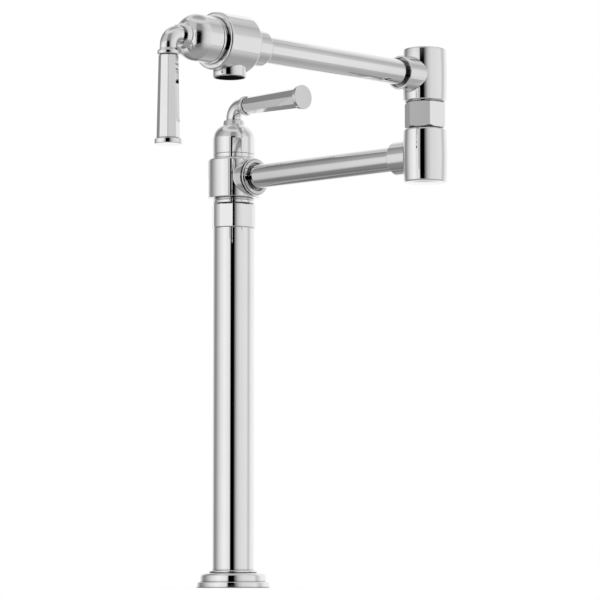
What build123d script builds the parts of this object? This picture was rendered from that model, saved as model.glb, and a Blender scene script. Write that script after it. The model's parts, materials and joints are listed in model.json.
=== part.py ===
from build123d import *
import os
from math import acos, cos, degrees, radians, sin

os.makedirs("parts", exist_ok=True)

# Deck mount pot filler, in millimetres.
# The origin is on the column's axis at the deck's surface, with +Z up and the folded arms in front, towards -Y.

# Clearances
running_clearance = 0.06
seat_clearance = 0.02

# Column height and reach
column_top = 380.8
lower_arm_length = 272.6
upper_arm_length = 272.6

# Rest pose, in degrees
lower_arm_heading = -43.9
elbow_opening = 89.0
column_lever_heading = -44.5

# Column
column_radius = 22.0
column_wall = 2.0
column_foot = 3.0

# Flange at the foot of the column
flange_plate_radius = 38.5
flange_plate_height = 6.2
flange_step_radius = 34.8
flange_step_height = 9.2
flange_step_round = 3.6
flange_edge_round = 0.8
gasket_thickness = 1.5
gasket_inner_radius = 24.5
gasket_outer_radius = 35.5
trim_ring_radius = 25.3
trim_ring_height = 3.0

# Shank, washers and nut below the deck
shank_radius = 16.5
shank_length = 58.0
shank_bore_radius = 9.6
shank_plug_height = 12.0
deck_thickness = 30.0
deck_washer_radius = 29.0
deck_seal_thickness = 3.0
deck_washer_thickness = 2.0
washer_clearance = 0.4
washer_edge = 0.4
lock_nut_flats = 46.0
lock_nut_height = 9.0

# Water inlet, a half inch pipe thread
inlet_thread_radius = 10.45
inlet_thread_length = 15.0
inlet_bore_radius = 7.0
inlet_hex_flats = 30.0
inlet_hex_height = 6.0
inlet_plug_length = 10.0
riser_radius = 8.0

# Collar with six flats, and the neck ring under the drum
collar_radius = 23.4
collar_flats = 44.6
collar_height = 25.5
collar_turn = -79.3
collar_edge = 0.9
neck_gap = 1.2
neck_ring_height = 5.3
neck_ring_radius = 22.0
neck_waist_radius = 20.8
neck_foot_height = 2.6
neck_foot_slope = 0.8
drum_gap = 0.3

# Swivel post that carries the lower arm
post_plug_length = 20.0
post_neck_radius = 17.0
post_spigot_radius = 13.0
post_bore_radius = 6.5
post_reach = 30.0
post_waist_radius = 10.5
post_waist_height = 15.0
post_port_radius = 5.5
ring_section = 1.2
post_ring_offsets = (4.0, 9.0)

# Drum bodies of the two valves
drum_radius = 27.5
tee_drum_crown = 21.5
tee_drum_foot = 20.5
outlet_drum_crown = 22.3
outlet_drum_foot = 18.4
drum_edge_round = 2.6
drum_foot_edge = 0.5
water_port_radius = 9.0

# Boss where the lower arm leaves its drum, and the ferrule with a lip and a nose in front of it
boss_radius = 19.7
boss_reach = 29.4
boss_edge = 0.3
boss_fillet = 1.2
ferrule_neck_radius = 17.8
ferrule_groove = 2.4
ferrule_lip = 1.35
ferrule_lip_round = 0.35
ferrule_nose_radius = 18.2
ferrule_nose = 1.45
mouth_radius = 15.4
mouth_depth = 3.6

# Arm tubes and the sleeves that take them
arm_radius = 12.7
arm_wall = 1.5
arm_end_gap = 16.0
sleeve_radius = 17.0
sleeve_reach = 37.8
sleeve_edge_round = 0.7

# Elbow
elbow_radius = 22.4
elbow_end_radius = 21.7
elbow_height = 53.5
elbow_offset = 1.0
elbow_edge_round = 1.8
elbow_nut_flats = 36.5
elbow_nut_turn = 25.6
elbow_nut_foot = 1.7
elbow_nut_foot_radius = 16.5
elbow_nut_height = 25.3
elbow_nut_chamfer_radius = 18.8
elbow_nut_chamfer_low = 1.7
elbow_nut_chamfer_high = 0.6
elbow_ring_radius = 19.4
elbow_ring_neck_radius = 17.5
elbow_ring_neck = 0.6
elbow_ring_height = 1.2
elbow_gap = 0.1
elbow_post_radius = 11.5
elbow_post_bore = 7.0
elbow_post_waist_radius = 9.6
elbow_post_waist_height = 14.0
elbow_post_port = 5.0
elbow_post_rings = (-11.0, 11.0)
elbow_post_gap = 0.3
cap_radius = 17.6
cap_inset = 1.5
cap_dome = 1.3
cap_plug_length = 5.0

# Outlet body and nozzle
outlet_sleeve_reach = 43.3
outlet_sleeve_round = 3.0
outlet_far_round = 3.4
nozzle_radius = 15.8
nozzle_drop = 33.0
nozzle_bore_radius = 13.3
nozzle_edge_round = 1.4
aerator_recess = 4.0
aerator_radius = 12.7
aerator_height = 5.5
aerator_wall = 1.6
aerator_ledge_radius = 10.0
screen_inset = 0.8
screen_thickness = 1.0
screen_hole_radius = 1.0
screen_inner_circle = 3.6
screen_outer_circle = 7.2
screen_inner_count = 6
screen_outer_count = 12

# Bonnet over each cartridge, with a ring round its skirt
bonnet_radius = 22.3
bonnet_ring_height = 5.2
bonnet_groove_edge = 0.5
bonnet_shoulder = 20.8
bonnet_dome_height = 16.5
bonnet_dome_centre = 7.0
bonnet_neck_radius = 12.0
bonnet_neck_top_radius = 11.2
bonnet_top = 41.6
bonnet_neck_fillet = 1.3
bonnet_top_round = 0.6
bonnet_skirt_radius = 19.0
bonnet_bore_radius = 17.0
bonnet_hole_low = 36.0

# Cartridge
cartridge_radius = 14.0
cartridge_depth = 9.0
cartridge_shoulder = 17.0
cartridge_neck_radius = 7.5
cartridge_height = 30.0
cartridge_port_radius = 3.0
cartridge_port_circle = 7.0
cartridge_port_depth = 5.0

# Lever
lever_axis_height = 56.1
lever_length = 104.2
stem_radius = 8.3
stem_bend = 12.0
stem_foot = 33.0
bead_radius = 10.6
bead_start = 14.6
bead_flare = 2.6
bead_width = 3.4
bead_round = 1.4
spindle_radius = 4.0
spindle_low = 14.0
spindle_high = 50.0
grip_sides = 8
grip_neck = 0.8
grip_neck_radius = 7.8
grip_start_radius = 9.25
grip_end_radius = 10.9
grip_edge_round = 0.5
grip_stud_radius = 3.0
grip_stud_length = 14.0
cap_disc_radius = 12.8
cap_disc_height = 4.8
cap_disc_round = 0.7
set_screw_radius = 1.6
set_screw_height = 46.6
set_screw_start = 8.4
set_screw_key = 0.8
set_screw_key_depth = 1.6


def heading_vector(angle):
    """A level direction at this angle from +X."""
    return Vector(cos(radians(angle)), sin(radians(angle)), 0)


def half_plane(base):
    """The plane through a base plane's axis: X is the radius, and Y the height along the axis."""
    return Plane(origin=base.origin, x_dir=base.x_dir, z_dir=-base.y_dir)


def axis_of(base):
    """The axis that a base plane's pieces are turned about."""
    return Axis(base.origin, base.z_dir)


def corner(profile, radius, height):
    """The corner of a profile that is nearest this radius and height."""
    return profile.vertices().sort_by_distance((radius, height))[0]


def finish(piece, label):
    """Names a finished piece and writes it."""
    piece.part.label = label
    export_step(piece.part, f"parts/{label}.step")


def make_ring(label, base, inner_radius, outer_radius, low, high, edge=0.0):
    """A plain ring, or a rod if the inner radius is none, with its outer edges chamfered."""
    with BuildPart() as ring:
        with BuildSketch(base.offset(low)):
            Circle(outer_radius)
            if inner_radius:
                Circle(inner_radius, mode=Mode.SUBTRACT)
        extrude(amount=high - low)
        if edge:
            rims = ring.edges().filter_by(GeomType.CIRCLE).sort_by(SortBy.RADIUS)[-2:]
            chamfer(rims, edge)
    finish(ring, label)


def make_seal_rings(label, base, seat_radius, offsets):
    """Rubber rings of round section that fill the grooves of a spigot."""
    with BuildPart() as seals:
        for offset_up in offsets:
            with BuildSketch(half_plane(base)):
                with Locations((seat_radius - ring_section, offset_up)):
                    Circle(ring_section)
            revolve(axis=axis_of(base))
    finish(seals, label)


# Stack of heights on the column, and of the pieces between the arms
collar_high = column_top + collar_height
neck_low = collar_high + neck_gap
neck_high = neck_low + neck_ring_height
lower_arm_height = neck_high + drum_gap + tee_drum_foot
elbow_stack = elbow_nut_foot + elbow_nut_height + elbow_ring_height + elbow_gap
arm_spacing = elbow_height - 2 * elbow_offset + elbow_stack
upper_arm_height = lower_arm_height + arm_spacing

# Directions and base planes
lower_arm_direction = heading_vector(lower_arm_heading)
upper_arm_heading = lower_arm_heading + 180 + elbow_opening
upper_arm_direction = heading_vector(upper_arm_heading)
elbow_foot = lower_arm_direction * lower_arm_length
lower_arm_start = Vector(0, 0, lower_arm_height)
lower_arm_end = elbow_foot + Vector(0, 0, lower_arm_height)
upper_arm_start = elbow_foot + Vector(0, 0, upper_arm_height)
outlet_centre = upper_arm_start + upper_arm_direction * upper_arm_length
up = (0, 0, 1)

deck = Plane.XY
tee_base = Plane.XY.offset(neck_high + drum_gap)
lower_arm_out = Plane(origin=lower_arm_start, x_dir=up, z_dir=lower_arm_direction)
lower_arm_back = Plane(origin=lower_arm_end, x_dir=up, z_dir=-lower_arm_direction)
upper_arm_out = Plane(origin=upper_arm_start, x_dir=up, z_dir=upper_arm_direction)
outlet_back = Plane(origin=outlet_centre, x_dir=up, z_dir=-upper_arm_direction)
outlet_down = Plane(origin=outlet_centre, x_dir=upper_arm_direction, z_dir=(0, 0, -1))
lower_elbow = Plane(origin=lower_arm_end, x_dir=lower_arm_direction, z_dir=up)
upper_elbow = Plane(origin=upper_arm_start, x_dir=upper_arm_direction, z_dir=up)
lower_barrel = lower_elbow.offset(-elbow_offset)
upper_barrel = upper_elbow.offset(elbow_offset)
column_bonnet_base = Plane(
    origin=lower_arm_start + Vector(0, 0, tee_drum_crown),
    x_dir=heading_vector(column_lever_heading),
    z_dir=up,
)
outlet_bonnet_base = Plane(
    origin=outlet_centre + upper_arm_direction * outlet_drum_crown,
    x_dir=(0, 0, -1),
    z_dir=upper_arm_direction,
)

# Flange: a plate and a rounded step, turned in one piece, with a recess below for the gasket
flange_height = flange_plate_height + flange_step_height
with BuildPart() as base_flange:
    with BuildSketch(half_plane(deck)) as flange_profile:
        with BuildLine():
            Polyline(
                (column_radius + seat_clearance, 0),
                (flange_plate_radius, 0),
                (flange_plate_radius, flange_plate_height),
                (flange_step_radius, flange_plate_height),
                (flange_step_radius, flange_height),
                (column_radius + seat_clearance, flange_height),
                close=True,
            )
        make_face()
        fillet(corner(flange_profile, flange_step_radius, flange_height), flange_step_round)
        fillet(corner(flange_profile, flange_plate_radius, flange_plate_height), flange_edge_round)
    revolve(axis=Axis.Z)
    with BuildSketch(deck):
        Circle(gasket_outer_radius)
        Circle(gasket_inner_radius, mode=Mode.SUBTRACT)
    extrude(amount=gasket_thickness, mode=Mode.SUBTRACT)
finish(base_flange, "base_flange")

make_ring(
    "base_gasket",
    deck,
    gasket_inner_radius + seat_clearance,
    gasket_outer_radius - seat_clearance,
    0,
    gasket_thickness,
)

# Trim ring that closes the flange against the column
with BuildPart() as trim_ring:
    with BuildSketch(half_plane(deck)) as trim_profile:
        ring_width = trim_ring_radius - column_radius - seat_clearance
        with Locations((trim_ring_radius - ring_width / 2, flange_height + trim_ring_height / 2)):
            Rectangle(ring_width, trim_ring_height)
        fillet(trim_profile.vertices().group_by(Axis.X)[-1], trim_ring_height / 2 - 0.1)
    revolve(axis=Axis.Z)
finish(trim_ring, "base_trim_ring")

# Column tube, standing on the shoulder of the shank
with BuildPart() as column_tube:
    with BuildSketch(deck.offset(column_foot)):
        Circle(column_radius)
        Circle(column_radius - column_wall, mode=Mode.SUBTRACT)
    extrude(amount=column_top - column_foot)
finish(column_tube, "column_tube")

# Shank: a shoulder on the deck, a plug inside the column and a threaded tube through the deck
plug_radius = column_radius - column_wall - seat_clearance
with BuildPart() as mounting_shank:
    with BuildSketch(deck):
        Circle(column_radius)
    extrude(amount=column_foot)
    with BuildSketch(deck.offset(column_foot)):
        Circle(plug_radius)
    extrude(amount=shank_plug_height)
    with BuildSketch(deck.offset(-shank_length)):
        Circle(shank_radius)
    extrude(amount=shank_length)
    chamfer(mounting_shank.edges().group_by(Axis.Z)[0], 1.0)
    chamfer(mounting_shank.edges().group_by(Axis.Z)[-1], 1.0)
    Hole(shank_bore_radius)
finish(mounting_shank, "mounting_shank")

# Seal, washer and nut that clamp the deck from below
seal_low = -deck_thickness - deck_seal_thickness
washer_low = seal_low - deck_washer_thickness
washer_bore_radius = shank_radius + washer_clearance
make_ring("deck_seal_washer", deck, washer_bore_radius, deck_washer_radius, seal_low, -deck_thickness)
make_ring("deck_steel_washer", deck, washer_bore_radius, deck_washer_radius, washer_low, seal_low, washer_edge)
with BuildPart() as lock_nut:
    with BuildSketch(deck.offset(washer_low - lock_nut_height)):
        RegularPolygon(lock_nut_flats / 2, 6, major_radius=False)
        Circle(shank_radius + running_clearance, mode=Mode.SUBTRACT)
    extrude(amount=lock_nut_height)
finish(lock_nut, "deck_lock_nut")

# Inlet adapter: a plug in the shank, a hexagon and a half inch pipe thread
inlet_hex_top = -shank_length
inlet_plug_top = -shank_length + inlet_plug_length
with BuildPart() as supply_inlet:
    with BuildSketch(deck.offset(inlet_hex_top)):
        Circle(shank_bore_radius - seat_clearance)
    extrude(amount=inlet_plug_length)
    with BuildSketch(deck.offset(inlet_hex_top - inlet_hex_height)):
        RegularPolygon(inlet_hex_flats / 2, 6, major_radius=False)
    extrude(amount=inlet_hex_height)
    with BuildSketch(deck.offset(inlet_hex_top - inlet_hex_height - inlet_thread_length)):
        Circle(inlet_thread_radius)
    extrude(amount=inlet_thread_length)
    Hole(inlet_bore_radius)
finish(supply_inlet, "supply_inlet")

# Swivel post: a plug in the column, a neck through the collar and a spigot in the drum above
post_low = column_top - post_plug_length
post_top = tee_base.origin.Z + post_reach
with BuildPart() as swivel_post:
    with BuildSketch(half_plane(deck)):
        with BuildLine():
            Polyline(
                (post_bore_radius, post_low),
                (plug_radius, post_low),
                (plug_radius, column_top),
                (post_neck_radius, column_top),
                (post_neck_radius, collar_high),
                (post_spigot_radius, collar_high),
                (post_spigot_radius, post_top),
                (post_bore_radius, post_top),
                close=True,
            )
        make_face()
        for offset_up in post_ring_offsets:
            with Locations((post_spigot_radius, tee_base.origin.Z + offset_up)):
                Rectangle(ring_section * 4, ring_section * 2, mode=Mode.SUBTRACT)
        with Locations((post_spigot_radius, lower_arm_height)):
            Rectangle(2 * (post_spigot_radius - post_waist_radius), post_waist_height, mode=Mode.SUBTRACT)
    revolve(axis=Axis.Z)
    with BuildSketch(lower_arm_out):
        Circle(post_port_radius)
    extrude(amount=post_spigot_radius, both=True, mode=Mode.SUBTRACT)
finish(swivel_post, "swivel_post")
make_seal_rings("swivel_seal_rings", tee_base, post_spigot_radius, post_ring_offsets)

# Riser that carries the water up inside the column
make_ring("riser_tube", deck, inlet_bore_radius, riser_radius, inlet_plug_top, post_low)

# Collar: a turned ring with six flats
with BuildPart() as column_collar:
    with BuildSketch(deck.offset(column_top)):
        Circle(collar_radius)
        RegularPolygon(
            collar_flats / 2, 6, major_radius=False, rotation=collar_turn, mode=Mode.INTERSECT
        )
    extrude(amount=collar_height)
    chamfer(column_collar.faces().filter_by(Axis.Z).edges(), collar_edge)
    with BuildSketch(deck.offset(column_top)):
        Circle(post_neck_radius + seat_clearance)
    extrude(amount=collar_height, mode=Mode.SUBTRACT)
finish(column_collar, "column_collar")

# Neck ring between the collar and the drum, with a waist above its foot
with BuildPart() as neck_ring:
    with BuildSketch(half_plane(deck)):
        with BuildLine():
            Polyline(
                (post_spigot_radius + seat_clearance, collar_high),
                (post_neck_radius, collar_high),
                (post_neck_radius, neck_low),
                (neck_ring_radius, neck_low),
                (neck_ring_radius, neck_low + neck_foot_height),
                (neck_waist_radius, neck_low + neck_foot_height + neck_foot_slope),
                (neck_waist_radius, neck_high),
                (post_spigot_radius + seat_clearance, neck_high),
                close=True,
            )
        make_face()
    revolve(axis=Axis.Z)
finish(neck_ring, "neck_ring")

# Drum of the column valve: it turns on the post and holds the lower arm in its boss
tee_drum_height = tee_drum_foot + tee_drum_crown
tee_cartridge_seat = tee_drum_height - cartridge_depth
with BuildPart() as tee_body:
    with BuildSketch(half_plane(tee_base)) as drum_profile:
        with Locations((drum_radius / 2, tee_drum_height / 2)):
            Rectangle(drum_radius, tee_drum_height)
        fillet(corner(drum_profile, drum_radius, tee_drum_height), drum_edge_round)
        chamfer(corner(drum_profile, drum_radius, 0), drum_foot_edge)
    revolve(axis=Axis.Z)
    with BuildSketch(lower_arm_out):
        Circle(boss_radius)
    extrude(amount=boss_reach)
    saddle = tee_body.edges().filter_by(GeomType.BSPLINE)
    fillet(saddle, boss_fillet)
    chamfer(tee_body.edges().filter_by(GeomType.CIRCLE).sort_by_distance(lower_arm_end)[0], boss_edge)
    with BuildSketch(tee_base):
        Circle(post_spigot_radius + running_clearance)
    extrude(amount=tee_cartridge_seat, mode=Mode.SUBTRACT)
    with BuildSketch(tee_base.offset(tee_cartridge_seat)):
        Circle(cartridge_radius + seat_clearance)
    extrude(amount=cartridge_depth, mode=Mode.SUBTRACT)
    with BuildSketch(lower_arm_out):
        Circle(water_port_radius)
    extrude(amount=arm_end_gap, mode=Mode.SUBTRACT)
    with BuildSketch(lower_arm_out.offset(arm_end_gap)):
        Circle(arm_radius + seat_clearance)
    extrude(amount=boss_reach, mode=Mode.SUBTRACT)
finish(tee_body, "tee_body")

# Ferrule in front of the boss: a neck, a lip and a nose with a narrow gap round the arm
lip_start = boss_reach + ferrule_groove
lip_end = lip_start + ferrule_lip
nose_end = lip_end + ferrule_nose
with BuildPart() as arm_ferrule:
    with BuildSketch(half_plane(lower_arm_out)) as ferrule_profile:
        with BuildLine():
            Polyline(
                (arm_radius + seat_clearance, boss_reach),
                (ferrule_neck_radius, boss_reach),
                (ferrule_neck_radius, lip_start),
                (boss_radius, lip_start),
                (boss_radius, lip_end),
                (ferrule_nose_radius, lip_end),
                (ferrule_nose_radius, nose_end),
                (mouth_radius, nose_end),
                (mouth_radius, nose_end - mouth_depth),
                (arm_radius + seat_clearance, nose_end - mouth_depth),
                close=True,
            )
        make_face()
        fillet(corner(ferrule_profile, boss_radius, lip_end), ferrule_lip_round)
        fillet(corner(ferrule_profile, ferrule_nose_radius, nose_end), ferrule_lip_round)
    revolve(axis=axis_of(lower_arm_out))
finish(arm_ferrule, "arm_ferrule")

# Arm tubes, each with one end in a valve body and the other in an elbow body
lower_tube_end = lower_arm_length - arm_end_gap
upper_tube_end = upper_arm_length - arm_end_gap
arm_bore_radius = arm_radius - arm_wall
make_ring("lower_arm_tube", lower_arm_out, arm_bore_radius, arm_radius, arm_end_gap, lower_tube_end)
make_ring("upper_arm_tube", upper_arm_out, arm_bore_radius, arm_radius, arm_end_gap, upper_tube_end)


def make_elbow_body(label, base, sleeve_plane, cap_side):
    """A barrel that turns on the elbow post, with a sleeve for its arm and a recess for its cap."""
    with BuildPart() as body:
        with BuildSketch(half_plane(base)) as barrel_profile:
            with BuildLine():
                foot = Line((0, -elbow_height / 2), (elbow_end_radius, -elbow_height / 2))
                side = ThreePointArc(foot @ 1, (elbow_radius, 0), (elbow_end_radius, elbow_height / 2))
                Polyline(side @ 1, (0, elbow_height / 2), foot @ 0)
            make_face()
            fillet(barrel_profile.vertices().group_by(Axis.X)[-1], elbow_edge_round)
        revolve(axis=axis_of(base))
        with BuildSketch(sleeve_plane):
            Circle(sleeve_radius)
        extrude(amount=sleeve_reach)
        mouth = sleeve_plane.offset(sleeve_reach)
        fillet(
            body.edges().filter_by(GeomType.CIRCLE).sort_by_distance(mouth.origin)[0],
            sleeve_edge_round,
        )
        with BuildSketch(mouth):
            Circle(mouth_radius)
        extrude(amount=-mouth_depth, mode=Mode.SUBTRACT)
        with BuildSketch(sleeve_plane.offset(arm_end_gap)):
            Circle(arm_radius + seat_clearance)
        extrude(amount=sleeve_reach, mode=Mode.SUBTRACT)
        with BuildSketch(sleeve_plane):
            Circle(water_port_radius)
        extrude(amount=arm_end_gap, mode=Mode.SUBTRACT)
        with BuildSketch(base):
            Circle(elbow_post_radius + running_clearance)
        extrude(amount=elbow_height, both=True, mode=Mode.SUBTRACT)
        with BuildSketch(base.offset(cap_side * (elbow_height / 2 - cap_inset))):
            Circle(cap_radius + seat_clearance)
        extrude(amount=cap_side * elbow_height, mode=Mode.SUBTRACT)
    finish(body, label)


def make_elbow_cap(label, base, cap_side):
    """A shallow dome with a plug that closes the post's bore."""
    face = base.offset(cap_side * elbow_height / 2)
    with BuildPart() as cap:
        with BuildSketch(half_plane(face)):
            with BuildLine():
                rim = Line((cap_radius, -cap_side * cap_inset), (cap_radius, 0))
                dome = TangentArc((0, cap_side * cap_dome), rim @ 1, tangent=(1, 0))
                Polyline(
                    dome @ 0,
                    (0, -cap_side * (cap_inset + cap_plug_length)),
                    (elbow_post_radius, -cap_side * (cap_inset + cap_plug_length)),
                    (elbow_post_radius, -cap_side * cap_inset),
                    rim @ 0,
                )
            make_face()
        revolve(axis=axis_of(base))
    finish(cap, label)


make_elbow_body("lower_elbow_body", lower_barrel, lower_arm_back, -1)
make_elbow_cap("lower_elbow_cap", lower_barrel, -1)
make_elbow_body("upper_elbow_body", upper_barrel, upper_arm_out, 1)
make_elbow_cap("upper_elbow_cap", upper_barrel, 1)

# Nut between the two elbow bodies: six flats, with the corners turned off at both ends
nut_foot = lower_barrel.offset(elbow_height / 2)
nut_low = nut_foot.offset(elbow_nut_foot)
nut_corner_radius = elbow_nut_flats / 2 / cos(radians(30))
with BuildPart() as elbow_nut:
    with BuildSketch(nut_low):
        RegularPolygon(elbow_nut_flats / 2, 6, major_radius=False, rotation=elbow_nut_turn)
    extrude(amount=elbow_nut_height)
    with BuildSketch(half_plane(nut_low)):
        with BuildLine():
            Polyline(
                (0, 0),
                (elbow_nut_chamfer_radius, 0),
                (nut_corner_radius, elbow_nut_chamfer_low),
                (nut_corner_radius, elbow_nut_height - elbow_nut_chamfer_high),
                (elbow_nut_chamfer_radius, elbow_nut_height),
                (0, elbow_nut_height),
                close=True,
            )
        make_face()
    revolve(axis=axis_of(nut_low), mode=Mode.INTERSECT)
    with BuildSketch(nut_foot):
        Circle(elbow_nut_foot_radius)
    extrude(amount=elbow_nut_foot)
    with BuildSketch(nut_foot):
        Circle(elbow_post_radius + seat_clearance)
    extrude(amount=elbow_height, mode=Mode.SUBTRACT)
finish(elbow_nut, "elbow_nut")

# Thin ring over the nut, which the upper body turns on
ring_low = elbow_nut_height
ring_high = ring_low + elbow_ring_height
with BuildPart() as elbow_ring:
    with BuildSketch(half_plane(nut_low)):
        with BuildLine():
            Polyline(
                (elbow_post_radius + seat_clearance, ring_low),
                (elbow_ring_neck_radius, ring_low),
                (elbow_ring_neck_radius, ring_low + elbow_ring_neck),
                (elbow_ring_radius, ring_low + elbow_ring_neck),
                (elbow_ring_radius, ring_high),
                (elbow_post_radius + seat_clearance, ring_high),
                close=True,
            )
        make_face()
    revolve(axis=axis_of(nut_low))
finish(elbow_ring, "elbow_ring")

# Elbow post: hollow, with a waist and a port at each arm's height, and grooves for four seal rings
cap_foot = elbow_offset + elbow_height / 2 - cap_inset - cap_plug_length
elbow_post_low = -cap_foot
elbow_post_high = arm_spacing + cap_foot - elbow_post_gap
post_seals = [arm + offset_up for arm in (0, arm_spacing) for offset_up in elbow_post_rings]
with BuildPart() as elbow_post:
    with BuildSketch(half_plane(lower_elbow)):
        post_wall = elbow_post_radius - elbow_post_bore
        with Locations((elbow_post_bore + post_wall / 2, (elbow_post_low + elbow_post_high) / 2)):
            Rectangle(post_wall, elbow_post_high - elbow_post_low)
        waist_depth = elbow_post_radius - elbow_post_waist_radius
        with Locations((elbow_post_radius, 0), (elbow_post_radius, arm_spacing)):
            Rectangle(2 * waist_depth, elbow_post_waist_height, mode=Mode.SUBTRACT)
        with Locations([(elbow_post_radius, height) for height in post_seals]):
            Rectangle(ring_section * 4, ring_section * 2, mode=Mode.SUBTRACT)
    revolve(axis=axis_of(lower_elbow))
    for port_plane in (lower_arm_back, upper_arm_out):
        with BuildSketch(port_plane):
            Circle(elbow_post_port)
        extrude(amount=elbow_post_radius, both=True, mode=Mode.SUBTRACT)
finish(elbow_post, "elbow_post")
make_seal_rings("elbow_seal_rings", lower_elbow, elbow_post_radius, post_seals)

# Outlet body: a drum along the upper arm, a long sleeve towards the elbow and a nozzle that points down
outlet_foot = upper_arm_out.offset(upper_arm_length - outlet_drum_foot)
outlet_drum_height = outlet_drum_foot + outlet_drum_crown
outlet_cartridge_seat = outlet_drum_height - cartridge_depth
nozzle_mouth = outlet_down.offset(nozzle_drop)
aerator_seat = nozzle_drop - aerator_recess - aerator_height
with BuildPart() as outlet_body:
    with BuildSketch(half_plane(outlet_foot)) as outlet_profile:
        with Locations((drum_radius / 2, outlet_drum_height / 2)):
            Rectangle(drum_radius, outlet_drum_height)
        fillet(corner(outlet_profile, drum_radius, outlet_drum_height), drum_edge_round)
        fillet(corner(outlet_profile, drum_radius, 0), outlet_far_round)
    revolve(axis=axis_of(outlet_foot))
    with BuildSketch(outlet_back):
        Circle(sleeve_radius)
    extrude(amount=outlet_sleeve_reach)
    sleeve_end = outlet_back.offset(outlet_sleeve_reach).origin
    fillet(
        outlet_body.edges().filter_by(GeomType.CIRCLE).sort_by_distance(sleeve_end)[0],
        outlet_sleeve_round,
    )
    with BuildSketch(outlet_down):
        Circle(nozzle_radius)
    extrude(amount=nozzle_drop)
    with BuildSketch(nozzle_mouth):
        Circle(nozzle_bore_radius)
    extrude(amount=-aerator_recess, mode=Mode.SUBTRACT)
    with BuildSketch(nozzle_mouth.offset(-aerator_recess)):
        Circle(aerator_radius + seat_clearance)
    extrude(amount=-aerator_height, mode=Mode.SUBTRACT)
    fillet(
        outlet_body.edges().filter_by(GeomType.CIRCLE).group_by(Axis.Z)[0].sort_by(SortBy.RADIUS)[-1],
        nozzle_edge_round,
    )
    with BuildSketch(outlet_down):
        Circle(water_port_radius)
    extrude(amount=aerator_seat, mode=Mode.SUBTRACT)
    with BuildSketch(outlet_foot):
        Circle(water_port_radius)
    extrude(amount=outlet_cartridge_seat, mode=Mode.SUBTRACT)
    with BuildSketch(outlet_foot.offset(outlet_cartridge_seat)):
        Circle(cartridge_radius + seat_clearance)
    extrude(amount=cartridge_depth, mode=Mode.SUBTRACT)
    with BuildSketch(outlet_back.offset(arm_end_gap)):
        Circle(arm_radius + seat_clearance)
    extrude(amount=outlet_sleeve_reach, mode=Mode.SUBTRACT)
finish(outlet_body, "outlet_body")

# Aerator: a housing with a ledge, and the screen that rests on it
aerator_low = nozzle_drop - aerator_recess
screen_low = aerator_low - screen_inset
screen_high = screen_low - screen_thickness
housing_bore_radius = aerator_radius - aerator_wall
with BuildPart() as aerator_housing:
    with BuildSketch(half_plane(outlet_down)):
        with BuildLine():
            Polyline(
                (aerator_radius, aerator_seat),
                (aerator_radius, aerator_low),
                (housing_bore_radius, aerator_low),
                (housing_bore_radius, screen_high),
                (aerator_ledge_radius, screen_high),
                (aerator_ledge_radius, aerator_seat),
                close=True,
            )
        make_face()
    revolve(axis=axis_of(outlet_down))
finish(aerator_housing, "aerator_housing")

with BuildPart() as aerator_screen:
    with BuildSketch(outlet_down.offset(screen_high)):
        Circle(housing_bore_radius - seat_clearance)
        Circle(screen_hole_radius, mode=Mode.SUBTRACT)
        with PolarLocations(screen_inner_circle, screen_inner_count):
            Circle(screen_hole_radius, mode=Mode.SUBTRACT)
        with PolarLocations(screen_outer_circle, screen_outer_count):
            Circle(screen_hole_radius, mode=Mode.SUBTRACT)
    extrude(amount=screen_thickness)
finish(aerator_screen, "aerator_screen")


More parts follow.
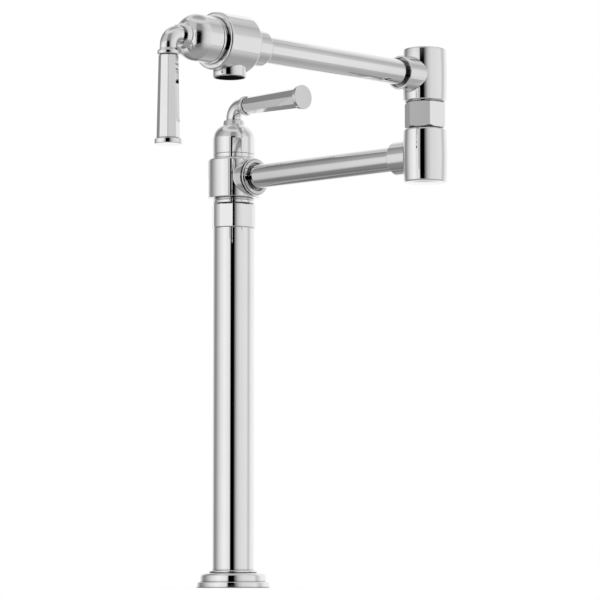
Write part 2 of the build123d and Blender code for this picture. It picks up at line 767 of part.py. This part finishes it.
def make_valve_top(valve, base):
    """The cartridge, the ring and the bonnet that stand on a valve's drum."""
    with BuildPart() as cartridge:
        with BuildSketch(half_plane(base)):
            with BuildLine():
                Polyline(
                    (0, -cartridge_depth),
                    (cartridge_radius, -cartridge_depth),
                    (cartridge_radius, 0),
                    (bonnet_bore_radius - seat_clearance, 0),
                    (bonnet_bore_radius - seat_clearance, bonnet_ring_height),
                    (cartridge_radius, bonnet_ring_height),
                    (cartridge_radius, cartridge_shoulder),
                    (cartridge_neck_radius, cartridge_shoulder),
                    (cartridge_neck_radius, cartridge_height),
                    (spindle_radius + running_clearance, cartridge_height),
                    (spindle_radius + running_clearance, spindle_low),
                    (0, spindle_low),
                    close=True,
                )
            make_face()
        revolve(axis=axis_of(base))
        with BuildSketch(base.offset(-cartridge_depth)):
            with PolarLocations(cartridge_port_circle, 2):
                Circle(cartridge_port_radius)
        extrude(amount=cartridge_port_depth, mode=Mode.SUBTRACT)
    finish(cartridge, f"{valve}_cartridge")

    make_ring(
        f"{valve}_bonnet_ring",
        base,
        bonnet_skirt_radius + seat_clearance,
        bonnet_radius,
        0,
        bonnet_ring_height,
        bonnet_groove_edge,
    )

    dome_end = degrees(acos((bonnet_neck_radius - bonnet_dome_centre) / (bonnet_radius - bonnet_dome_centre)))
    hole_radius = stem_radius + running_clearance
    with BuildPart() as bonnet:
        with BuildSketch(half_plane(base)) as bonnet_profile:
            with BuildLine():
                wall = Line((bonnet_radius, bonnet_ring_height), (bonnet_radius, bonnet_shoulder))
                dome = EllipticalCenterArc(
                    (bonnet_dome_centre, bonnet_shoulder),
                    bonnet_radius - bonnet_dome_centre,
                    bonnet_dome_height,
                    start_angle=0,
                    arc_size=dome_end,
                )
                dome_foot = dome @ 1
                Polyline(
                    dome_foot,
                    (bonnet_neck_top_radius, bonnet_top),
                    (hole_radius, bonnet_top),
                    (hole_radius, bonnet_hole_low),
                    (bonnet_bore_radius, bonnet_shoulder),
                    (bonnet_bore_radius, 0),
                    (bonnet_skirt_radius, 0),
                    (bonnet_skirt_radius, bonnet_ring_height),
                    wall @ 0,
                )
            make_face()
            chamfer(corner(bonnet_profile, bonnet_radius, bonnet_ring_height), bonnet_groove_edge)
            fillet(corner(bonnet_profile, bonnet_neck_top_radius, bonnet_top), bonnet_top_round)
        revolve(axis=axis_of(base))
        neck_foot = half_plane(base).from_local_coords(dome_foot)
        fillet(
            bonnet.edges().filter_by(GeomType.CIRCLE).sort_by_distance(neck_foot)[0],
            bonnet_neck_fillet,
        )
    finish(bonnet, f"{valve}_bonnet")


def make_lever(valve, base):
    """A lever: a bent stem with a bead, an eight sided grip, a cap, the spindle and its set screw."""
    grip_plane = Plane(
        origin=base.offset(lever_axis_height).origin,
        x_dir=base.z_dir,
        z_dir=base.x_dir,
    )
    bead_end = bead_start + bead_flare + bead_width
    grip_start = bead_end + grip_neck
    cap_start = lever_length - cap_disc_height
    grip_end = cap_start - grip_neck

    screw_plane = Plane(
        origin=base.offset(set_screw_height).origin,
        x_dir=base.z_dir,
        z_dir=-base.x_dir,
    )

    with BuildPart() as stem:
        with BuildLine(half_plane(base)):
            rise = Line((0, stem_foot), (0, lever_axis_height - stem_bend))
            bend = RadiusArc(rise @ 1, (stem_bend, lever_axis_height), stem_bend)
            Line(bend @ 1, (bead_end, lever_axis_height))
        with BuildSketch(base.offset(stem_foot)):
            Circle(stem_radius)
        sweep()
        with BuildSketch(half_plane(grip_plane)) as bead_profile:
            with BuildLine():
                Polyline(
                    (0, bead_start),
                    (stem_radius, bead_start),
                    (bead_radius, bead_start + bead_flare),
                    (bead_radius, bead_end),
                    (0, bead_end),
                    close=True,
                )
            make_face()
            fillet(bead_profile.vertices().group_by(Axis.X)[-1], bead_round)
        revolve(axis=axis_of(grip_plane))
        with BuildSketch(grip_plane.offset(bead_end)):
            Circle(grip_neck_radius)
        extrude(amount=grip_neck)
        with BuildSketch(grip_plane.offset(grip_start)):
            Circle(grip_stud_radius)
        extrude(amount=grip_stud_length)
        with BuildSketch(base.offset(stem_foot)):
            Circle(spindle_radius + seat_clearance)
        extrude(amount=spindle_high - stem_foot, mode=Mode.SUBTRACT)
        with BuildSketch(screw_plane.offset(spindle_radius)):
            Circle(set_screw_radius + seat_clearance)
        extrude(amount=stem_bend, mode=Mode.SUBTRACT)
    finish(stem, f"{valve}_lever_stem")

    with BuildPart() as grip:
        with BuildSketch(grip_plane.offset(grip_start)):
            RegularPolygon(grip_start_radius, grip_sides)
        with BuildSketch(grip_plane.offset(grip_end)):
            RegularPolygon(grip_end_radius, grip_sides)
        loft()
        long_edges = grip.edges().sort_by(Edge.length)[-grip_sides:]
        fillet(long_edges, grip_edge_round)
        with BuildSketch(grip_plane.offset(grip_start)):
            Circle(grip_stud_radius + seat_clearance)
        extrude(amount=grip_stud_length, mode=Mode.SUBTRACT)
        with BuildSketch(grip_plane.offset(grip_end - grip_stud_length)):
            Circle(grip_stud_radius + seat_clearance)
        extrude(amount=grip_stud_length, mode=Mode.SUBTRACT)
    finish(grip, f"{valve}_lever_grip")

    with BuildPart() as cap:
        with BuildSketch(grip_plane.offset(cap_start)):
            Circle(cap_disc_radius)
        extrude(amount=cap_disc_height)
        fillet(cap.edges().filter_by(GeomType.CIRCLE), cap_disc_round)
        with BuildSketch(grip_plane.offset(grip_end)):
            Circle(grip_neck_radius)
        extrude(amount=grip_neck)
        with BuildSketch(grip_plane.offset(grip_end - grip_stud_length)):
            Circle(grip_stud_radius)
        extrude(amount=grip_stud_length)
    finish(cap, f"{valve}_lever_cap")

    make_ring(f"{valve}_lever_spindle", base, 0, spindle_radius, spindle_low, spindle_high)

    with BuildPart() as screw:
        with BuildSketch(screw_plane.offset(spindle_radius)):
            Circle(set_screw_radius)
        extrude(amount=set_screw_start - spindle_radius)
        with BuildSketch(screw_plane.offset(set_screw_start)):
            RegularPolygon(set_screw_key, 6, major_radius=False)
        extrude(amount=-set_screw_key_depth, mode=Mode.SUBTRACT)
    finish(screw, f"{valve}_lever_screw")


for valve_name, bonnet_base in (("column", column_bonnet_base), ("outlet", outlet_bonnet_base)):
    make_valve_top(valve_name, bonnet_base)
    make_lever(valve_name, bonnet_base)
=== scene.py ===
import json
from math import atan, cos, pi, radians, sin

import bpy
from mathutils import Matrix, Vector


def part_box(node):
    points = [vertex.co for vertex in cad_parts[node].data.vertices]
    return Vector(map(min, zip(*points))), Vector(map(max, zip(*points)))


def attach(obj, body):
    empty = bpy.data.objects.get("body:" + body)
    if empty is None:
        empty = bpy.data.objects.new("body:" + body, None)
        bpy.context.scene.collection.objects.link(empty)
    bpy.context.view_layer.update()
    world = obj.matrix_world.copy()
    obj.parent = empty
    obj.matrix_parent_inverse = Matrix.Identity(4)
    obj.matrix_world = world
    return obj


# Photograph, in pixels: the horizon, the deck, and the column's axis and width
image_size = 600
focal_pixels = 3100.0
horizon_row = 586.6
deck_row = 588.0
column_pixel = 232.95
column_pixels_wide = 41.75
sensor_width = 36.0
view_reach = 100.0

# Studio, in metres: a floor, and a tent of cloth round the object that only metal sees
floor_radius = 12.0
floor_colour = 0.94
contact_radius = 0.08
contact_fade = 0.12
round_steps = 96
tent_radius = 1.2
tent_height = 1.9
tent_floor_height = 0.0005

# The wall turns from its low ring to its high one over these heights, the floor over these distances
wall_turn = (0.75, 1.0)
floor_turn = (0.5, 1.05)

# Chrome: how bright it is, and the painted shade that darkens its creases and narrow gaps by how open a
# place is within this reach
chrome_level = 0.93
chrome_blue = 0.005
smudge_share = 0.97
chrome_roughness = (0.012, 0.035)
dome_roughness = (0.1, 0.14)
crease_shade_reach = 0.003
crease_shade_stops = [(0.3, 0.05), (0.62, 0.55), (0.85, 1.0)]

# Bands of the tent: the angle from the camera's side, positive to the right, and the grey that chrome shows
# there, in steps of five, chosen to come near the photograph's tones
wall_low = [
    (-180, 245), (-150, 235),
    (-125, 135), (-110, 140),
    (-75, 220), (-50, 240), (-22, 225), (-17, 200),
    (-14.5, 0), (4, 0),
    (8.5, 110), (20, 190), (34, 215), (78, 225),
    (93, 190),
    (116, 235), (180, 245),
]
wall_high = [
    (-180, 240),
    (-120, 110),
    (-52, 195), (-22, 190),
    (-14, 140), (8, 140),
    (30, 200), (60, 215),
    (94, 175),
    (112, 210), (155, 240), (180, 240),
]
floor_near = [
    (-180, 135), (-165, 110), (-150, 125), (-120, 110),
    (-80, 130), (-50, 150), (52, 150),
    (147, 185), (180, 135),
]
floor_far = [
    (-180, 210), (-142, 215),
    (-118, 165),
    (-52, 230),
    (-15, 110), (6, 115),
    (22, 185), (45, 210), (68, 205),
    (90, 165),
    (116, 230), (180, 210),
]
# Bands of the roof: the distance from its middle and the grey
roof = [(0.0, 150), (0.45, 170), (0.65, 205), (0.85, 215), (1.05, 200), (1.2, 190)]

# Cards inside the wall: the angle, the lower and upper edge, the width and the share of light they leave
cards = [
    ("card_front", -21.5, 0.5, 0.76, 0.1, 0.57),
    ("card_back", -158.0, 0.59, 0.72, 0.1, 0.35),
]
card_gap = 0.01

# Threads: the piece, the mount that gives its radius, its start above the piece's end, and its length,
# pitch and depth
threads = [
    ("mounting_shank", "deck_shank", 0.0015, 0.0505, 0.0018, 0.0004),
    ("supply_inlet", "supply_inlet", 0.001, 0.0128, 0.00181, 0.0006),
]
thread_steps = 40
thread_root = 0.0002
root_half = 0.48
crest_half = 0.08

# The nozzle's mouth is painted with near black shade this far above the mount in its mouth and this far
# outside the mount's bore
mouth_shade_depth = 0.0066
mouth_shade_rim = 0.0018
mouth_shade_colour = 0.012

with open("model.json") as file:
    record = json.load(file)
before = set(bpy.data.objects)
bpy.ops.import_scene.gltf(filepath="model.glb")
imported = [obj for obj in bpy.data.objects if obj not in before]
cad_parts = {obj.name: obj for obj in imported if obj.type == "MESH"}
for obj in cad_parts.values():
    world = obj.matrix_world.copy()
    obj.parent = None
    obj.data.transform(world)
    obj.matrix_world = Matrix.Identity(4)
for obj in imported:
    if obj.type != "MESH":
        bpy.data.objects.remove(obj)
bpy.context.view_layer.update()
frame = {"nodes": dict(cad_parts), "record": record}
mounts = {mount["name"]: mount for mount in frame["record"]["mounts"]}


# Node helpers, which return the socket that holds their result
def set_socket(tree, socket, value):
    """A link where the value is a socket, and otherwise the value itself."""
    if isinstance(value, bpy.types.NodeSocket):
        tree.links.new(value, socket)
    else:
        socket.default_value = value


def add_node(tree, kind, **settings):
    """A shader node with its settings, given as attributes."""
    node = tree.nodes.new(kind)
    for name, value in settings.items():
        setattr(node, name, value)
    return node


def add_math(tree, operation, first, second):
    node = add_node(tree, "ShaderNodeMath", operation=operation)
    set_socket(tree, node.inputs[0], first)
    set_socket(tree, node.inputs[1], second)
    return node.outputs["Value"]


def add_place(tree):
    """Where a point is, in the object's own metres."""
    return add_node(tree, "ShaderNodeTexCoord").outputs["Object"]


def add_split(tree, vector):
    """The three parts of a vector, as sockets by name."""
    split = add_node(tree, "ShaderNodeSeparateXYZ")
    set_socket(tree, split.inputs["Vector"], vector)
    return split.outputs


def add_axis_distance(tree, place, axis=(0, 0)):
    """How far a place is from an upright axis through this point of the plan."""
    shift = add_node(tree, "ShaderNodeVectorMath", operation="SUBTRACT")
    set_socket(tree, shift.inputs[0], place)
    shift.inputs[1].default_value = (*axis, 0)
    flat = add_node(tree, "ShaderNodeVectorMath", operation="MULTIPLY")
    set_socket(tree, flat.inputs[0], shift.outputs["Vector"])
    flat.inputs[1].default_value = (1, 1, 0)
    distance = add_node(tree, "ShaderNodeVectorMath", operation="LENGTH")
    set_socket(tree, distance.inputs[0], flat.outputs["Vector"])
    return distance.outputs["Value"]


def add_noise(tree, scale, detail, stretch=(1, 1, 1)):
    """Noise in the object's own metres, stretched along an axis where asked."""
    mapping = add_node(tree, "ShaderNodeMapping")
    mapping.inputs["Scale"].default_value = stretch
    set_socket(tree, mapping.inputs["Vector"], add_place(tree))
    noise = add_node(tree, "ShaderNodeTexNoise")
    noise.inputs["Scale"].default_value = scale
    noise.inputs["Detail"].default_value = detail
    set_socket(tree, noise.inputs["Vector"], mapping.outputs["Vector"])
    return noise.outputs["Fac"]


def add_ramp(tree, source, stops):
    """A ramp from (place, colour) stops, where a colour is a grey or three numbers."""
    ramp = add_node(tree, "ShaderNodeValToRGB")
    elements = ramp.color_ramp.elements
    while len(elements) < len(stops):
        elements.new(0.5)
    for element, (place, colour) in zip(elements, stops):
        element.position = place
        shade = colour if isinstance(colour, tuple) else (colour,) * 3
        element.color = (*shade, 1)
    set_socket(tree, ramp.inputs["Fac"], source)
    return ramp.outputs["Color"]


def add_range(tree, source, start=(0, 1), end=(0, 1), curve="LINEAR"):
    """The source's range from start as the range of end."""
    remap = add_node(tree, "ShaderNodeMapRange", interpolation_type=curve)
    names = ("From Min", "From Max", "To Min", "To Max")
    for name, value in zip(names, (*start, *end)):
        remap.inputs[name].default_value = value
    set_socket(tree, remap.inputs["Value"], source)
    return remap.outputs["Result"]


def add_mix(tree, share, first, second, blend="MIX"):
    """The second colour laid over the first by this share."""
    mix = add_node(tree, "ShaderNodeMix", data_type="RGBA", blend_type=blend)
    set_socket(tree, mix.inputs["Factor"], share)
    set_socket(tree, mix.inputs["A"], first)
    set_socket(tree, mix.inputs["B"], second)
    return mix.outputs["Result"]


def add_bump(tree, shader, source, strength, distance):
    bump = add_node(tree, "ShaderNodeBump")
    bump.inputs["Strength"].default_value = strength
    bump.inputs["Distance"].default_value = distance
    set_socket(tree, bump.inputs["Height"], source)
    set_socket(tree, shader.inputs["Normal"], bump.outputs["Normal"])


# Materials
def new_material(name, metallic=0.0):
    """A material, its node tree and its principled shader."""
    material = bpy.data.materials.new(name)
    material.use_nodes = True
    shader = material.node_tree.nodes["Principled BSDF"]
    shader.inputs["Metallic"].default_value = metallic
    return material, material.node_tree, shader


def add_surface(tree, shader, pattern, stops, roughness):
    """Colour and roughness from one pattern."""
    set_socket(tree, shader.inputs["Base Color"], add_ramp(tree, pattern, stops))
    set_socket(tree, shader.inputs["Roughness"], add_range(tree, pattern, end=roughness))


def make_chrome(name, roughness=chrome_roughness):
    """Polished chrome: mirror bright, with faint smudges, a very slight waviness and painted shade
    darkening its creases and gaps.
    """
    material, tree, shader = new_material(name, metallic=1.0)
    smudge = add_noise(tree, scale=28.0, detail=4.0)
    clean = (chrome_level, chrome_level, chrome_level + chrome_blue)
    worn = tuple(smudge_share * part for part in clean)
    tint = add_ramp(tree, smudge, [(0.35, clean), (0.7, worn)])
    # Painted shade: the colour is darkened where ambient occlusion finds a crease or narrow gap, standing
    # in for the shade there
    open_share = add_node(tree, "ShaderNodeAmbientOcclusion", samples=12)
    open_share.inputs["Distance"].default_value = crease_shade_reach
    painted_crease_shade = add_ramp(tree, open_share.outputs["AO"], crease_shade_stops)
    set_socket(tree, shader.inputs["Base Color"], add_mix(tree, 1, tint, painted_crease_shade, blend="MULTIPLY"))
    set_socket(tree, shader.inputs["Roughness"], add_range(tree, smudge, end=roughness))
    wave = add_noise(tree, scale=60.0, detail=1.0)
    add_bump(tree, shader, wave, strength=0.04, distance=0.0002)
    return material


def make_mouth_shaded_chrome(name):
    """Chrome with painted shade in the nozzle's mouth, where the stream of water leaves: near black and not
    metal there.
    """
    material = make_chrome(name)
    tree = material.node_tree
    shader = tree.nodes["Principled BSDF"]
    mouth_x, mouth_y, mouth_z = mounts["nozzle_mouth"]["pos_m"]
    bore = mounts["nozzle_mouth"]["dims"]["r_mm"] / 1000
    place = add_place(tree)
    away = add_axis_distance(tree, place, (mouth_x, mouth_y))
    # Painted shade: inside the mouth the colour is near black and not metal, in place of the shade in the
    # recess
    within = add_math(tree, "LESS_THAN", away, bore + mouth_shade_rim)
    below = add_math(tree, "LESS_THAN", add_split(tree, place)["Z"], mouth_z + mouth_shade_depth)
    inside = add_math(tree, "MULTIPLY", within, below)
    tint = shader.inputs["Base Color"].links[0].from_socket
    dark = (mouth_shade_colour, mouth_shade_colour, mouth_shade_colour, 1)
    set_socket(tree, shader.inputs["Base Color"], add_mix(tree, inside, tint, dark))
    set_socket(tree, shader.inputs["Metallic"], add_math(tree, "SUBTRACT", 1, inside))
    return material


def make_brass(name):
    """Machined brass: warm, with turning marks round it and duller patches."""
    material, tree, shader = new_material(name, metallic=1.0)
    patches = add_noise(tree, scale=90.0, detail=5.0)
    colours = [(0.3, (0.62, 0.42, 0.17)), (0.7, (0.78, 0.57, 0.27))]
    add_surface(tree, shader, patches, colours, roughness=(0.22, 0.38))
    turning = add_noise(tree, scale=40.0, detail=2.0, stretch=(1, 1, 60))
    add_bump(tree, shader, turning, strength=0.15, distance=0.0002)
    return material


def make_steel(name):
    """Zinc plated steel: grey, slightly rough, with a fine mottled finish."""
    material, tree, shader = new_material(name, metallic=1.0)
    mottle = add_noise(tree, scale=350.0, detail=5.0)
    colours = [(0.35, (0.5, 0.51, 0.53)), (0.7, (0.66, 0.67, 0.68))]
    add_surface(tree, shader, mottle, colours, roughness=(0.28, 0.45))
    add_bump(tree, shader, mottle, strength=0.08, distance=0.0001)
    return material


def make_soft(name, dark, light, roughness):
    """Moulded rubber or plastic: near black, with a fine grain."""
    material, tree, shader = new_material(name)
    grain = add_noise(tree, scale=900.0, detail=4.0)
    add_surface(tree, shader, grain, [(0.3, dark), (0.7, light)], roughness)
    add_bump(tree, shader, grain, strength=0.2, distance=0.0001)
    return material


chrome = make_chrome("polished_chrome")
outlet_chrome = make_mouth_shaded_chrome("outlet_chrome")
dome_chrome = make_chrome("dome_chrome", dome_roughness)
brass = make_brass("machined_brass")
steel = make_steel("plated_steel")
rubber = make_soft("seal_rubber", (0.012, 0.012, 0.013), (0.03, 0.03, 0.032), (0.55, 0.75))
plastic = make_soft("aerator_plastic", (0.006, 0.006, 0.006), (0.014, 0.014, 0.014), (0.5, 0.65))

# Every piece that isn't named here is plain chrome
finishes = {
    "base_gasket": rubber,
    "deck_seal_washer": rubber,
    "swivel_seal_rings": rubber,
    "elbow_seal_rings": rubber,
    "aerator_housing": plastic,
    "aerator_screen": plastic,
    "outlet_body": outlet_chrome,
    "outlet_bonnet": dome_chrome,
    "deck_steel_washer": steel,
    "column_lever_screw": steel,
    "outlet_lever_screw": steel,
    "mounting_shank": brass,
    "deck_lock_nut": brass,
    "supply_inlet": brass,
    "riser_tube": brass,
    "swivel_post": brass,
    "elbow_post": brass,
    "column_cartridge": brass,
    "outlet_cartridge": brass,
    "column_lever_spindle": brass,
    "outlet_lever_spindle": brass,
}
for node_name, node in frame["nodes"].items():
    node.data.materials.clear()
    node.data.materials.append(finishes.get(node_name, chrome))


def add_object(name, corners, faces, material):
    """A mesh of these corners and faces, in the scene."""
    mesh = bpy.data.meshes.new(name)
    mesh.from_pydata(corners, [], faces)
    mesh.materials.append(material)
    result = bpy.data.objects.new(name, mesh)
    bpy.context.scene.collection.objects.link(result)
    return result


# Threads of the shank and of the inlet, which run round the plain cylinders of the model
def add_thread(piece, mount, start, length, pitch, depth):
    """A helical ridge that fades in and out over its first and last turn."""
    radius = mounts[mount]["dims"]["r_mm"] / 1000
    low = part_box(piece)[0][2] + start
    turns_round = length / pitch
    count = int(turns_round * thread_steps)
    corners = []
    for step in range(count + 1):
        turn = step / thread_steps
        rise = depth * min(1, turn, turns_round - turn)
        angle = 2 * pi * turn
        height = low + pitch * turn
        for reach, offset in (
            (-thread_root, -root_half), (rise, -crest_half), (rise, crest_half), (-thread_root, root_half),
        ):
            far = radius + reach
            corners.append((far * cos(angle), far * sin(angle), height + offset * pitch))
    faces = []
    for step in range(count):
        for side in range(4):
            after = (side + 1) % 4
            faces.append((4 * step + side, 4 * step + after, 4 * step + 4 + after, 4 * step + 4 + side))
    faces += [(3, 2, 1, 0), tuple(4 * count + side for side in range(4))]
    ridge = add_object(piece + "_thread", corners, faces, finishes[piece])
    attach(ridge, "column")


for thread in threads:
    add_thread(*thread)


# Studio
def add_stage(name, corners, faces, material):
    """A sheet of these faces, which isn't part of the object."""
    sheet = add_object(name, corners, faces, material)
    return sheet


def round_corners(radius, height):
    turns = [2 * pi * step / round_steps for step in range(round_steps)]
    return [(radius * cos(turn), radius * sin(turn), height) for turn in turns]


def add_disc(name, radius, height, material):
    return add_stage(name, round_corners(radius, height), [tuple(range(round_steps))], material)


def grey(level):
    """A display grey, 0 to 255, as a linear value."""
    part = level / 255
    return part / 12.92 if part <= 0.04045 else ((part + 0.055) / 1.055) ** 2.4


def background_share(tree):
    """1 for the rays that show the background: seen directly, in metal or through glass."""
    path = add_node(tree, "ShaderNodeLightPath").outputs
    seen = add_math(tree, "MAXIMUM", path["Is Camera Ray"], path["Is Glossy Ray"])
    return add_math(tree, "MAXIMUM", seen, path["Is Transmission Ray"])


def mix_surface(tree, share, first, second):
    """The second shader over the first by this share, as the material's surface."""
    mix = add_node(tree, "ShaderNodeMixShader")
    set_socket(tree, mix.inputs["Fac"], share)
    set_socket(tree, mix.inputs[1], first.outputs[0])
    set_socket(tree, mix.inputs[2], second.outputs[0])
    set_socket(tree, tree.nodes["Material Output"].inputs["Surface"], mix.outputs["Shader"])


def make_floor():
    """A pale floor that keeps the shadow at the object's foot and is the background's white farther out."""
    material, tree, shader = new_material("studio_floor")
    shader.inputs["Base Color"].default_value = (floor_colour, floor_colour, floor_colour, 1)
    shader.inputs["Roughness"].default_value = 0.7
    shader.inputs["Specular IOR Level"].default_value = 0.2
    reach = (contact_radius, contact_radius + contact_fade)
    fade = add_range(tree, add_axis_distance(tree, add_place(tree)), reach, curve="SMOOTHSTEP")
    white = add_node(tree, "ShaderNodeEmission")
    white.inputs["Color"].default_value = (1, 1, 1, 1)
    mix_surface(tree, add_math(tree, "MULTIPLY", background_share(tree), fade), shader, white)
    return material


def finish_cloth(tree, shader, clear):
    """Cloth that takes away light and lets this share of the white behind it through."""
    shader.inputs["Base Color"].default_value = (0, 0, 0, 1)
    shader.inputs["Specular IOR Level"].default_value = 0
    mix_surface(tree, clear, shader, add_node(tree, "ShaderNodeBsdfTransparent"))


def cloth_share(level):
    """The share of white that cloth leaves where chrome is to show this grey."""
    return min(grey(level) / chrome_level, 1.0)


def add_ring(tree, place, ring):
    """The share of light that a ring of (angle, grey) leaves, round the object."""
    parts = add_split(tree, place)
    turn = add_math(tree, "ARCTAN2", parts["X"], add_math(tree, "MULTIPLY", parts["Y"], -1))
    stops = [((angle + 180) / 360, cloth_share(level)) for angle, level in ring]
    return add_ramp(tree, add_range(tree, turn, (-pi, pi)), stops)


def make_wall_cloth(name):
    """The wall: its low ring turns into its high one as it rises."""
    material, tree, shader = new_material(name)
    place = add_place(tree)
    rise = add_range(tree, add_split(tree, place)["Z"], wall_turn, curve="SMOOTHSTEP")
    clear = add_mix(tree, rise, add_ring(tree, place, wall_low), add_ring(tree, place, wall_high))
    finish_cloth(tree, shader, clear)
    return material


def make_floor_cloth(name):
    """The tent's floor: its near ring turns into its far one with the distance."""
    material, tree, shader = new_material(name)
    place = add_place(tree)
    away = add_range(tree, add_axis_distance(tree, place), floor_turn, curve="SMOOTHSTEP")
    clear = add_mix(tree, away, add_ring(tree, place, floor_near), add_ring(tree, place, floor_far))
    finish_cloth(tree, shader, clear)
    return material


def make_roof_cloth(name):
    """The tent's roof: brightest in a ring between its middle and the wall."""
    material, tree, shader = new_material(name)
    away = add_math(tree, "DIVIDE", add_axis_distance(tree, add_place(tree)), tent_radius)
    stops = [(far / tent_radius, cloth_share(level)) for far, level in roof]
    finish_cloth(tree, shader, add_ramp(tree, away, stops))
    return material


def add_card(name, angle, low, high, width, share):
    """An upright card of thin cloth that stands just inside the tent's wall."""
    material, tree, shader = new_material(name)
    finish_cloth(tree, shader, share)
    far = tent_radius - card_gap
    turn = radians(angle)
    corners = []
    for side, height in ((-1, low), (1, low), (1, high), (-1, high)):
        along = side * width / 2
        corners.append((far * sin(turn) + along * cos(turn), -far * cos(turn) + along * sin(turn), height))
    return add_stage(name, corners, [(0, 1, 2, 3)], material)


def add_wall(name, material):
    corners = round_corners(tent_radius, 0) + round_corners(tent_radius, tent_height)
    faces = []
    for step in range(round_steps):
        after = (step + 1) % round_steps
        faces.append((step, after, round_steps + after, round_steps + step))
    return add_stage(name, corners, faces, material)


def make_world():
    """Plain white all round."""
    world = bpy.data.worlds.new("studio")
    bpy.context.scene.world = world
    world.use_nodes = True
    world.node_tree.nodes["Background"].inputs["Color"].default_value = (1, 1, 1, 1)


add_disc("floor", floor_radius, 0, make_floor())
tent = [
    add_wall("tent_wall", make_wall_cloth("tent_wall")),
    add_disc("tent_floor", tent_radius, tent_floor_height, make_floor_cloth("tent_floor")),
    add_disc("tent_ceiling", tent_radius, tent_height, make_roof_cloth("tent_ceiling")),
]
tent += [add_card(*card) for card in cards]
for cloth in tent:
    cloth.visible_camera = False
    cloth.visible_diffuse = False
    cloth.visible_shadow = False
make_world()


# Camera at the photograph's angle
def add_camera():
    tilt = atan((horizon_row - image_size / 2) / focal_pixels)
    column_low, column_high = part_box("column_tube")
    metres_per_pixel = (column_high[0] - column_low[0]) / column_pixels_wide
    lens = bpy.data.cameras.new("camera")
    lens.sensor_width = sensor_width
    lens.lens = focal_pixels * sensor_width / image_size
    lens.clip_end = view_reach
    camera = bpy.data.objects.new("camera", lens)
    across = (image_size / 2 - column_pixel) * metres_per_pixel
    distance = focal_pixels * metres_per_pixel / cos(tilt)
    height = (deck_row - horizon_row) * metres_per_pixel * cos(tilt)
    camera.location = (across, -distance, height)
    camera.rotation_euler = (pi / 2 + tilt, 0, 0)
    bpy.context.scene.collection.objects.link(camera)
    bpy.context.scene.camera = camera


add_camera()
bpy.context.scene.view_settings.view_transform = "Standard"
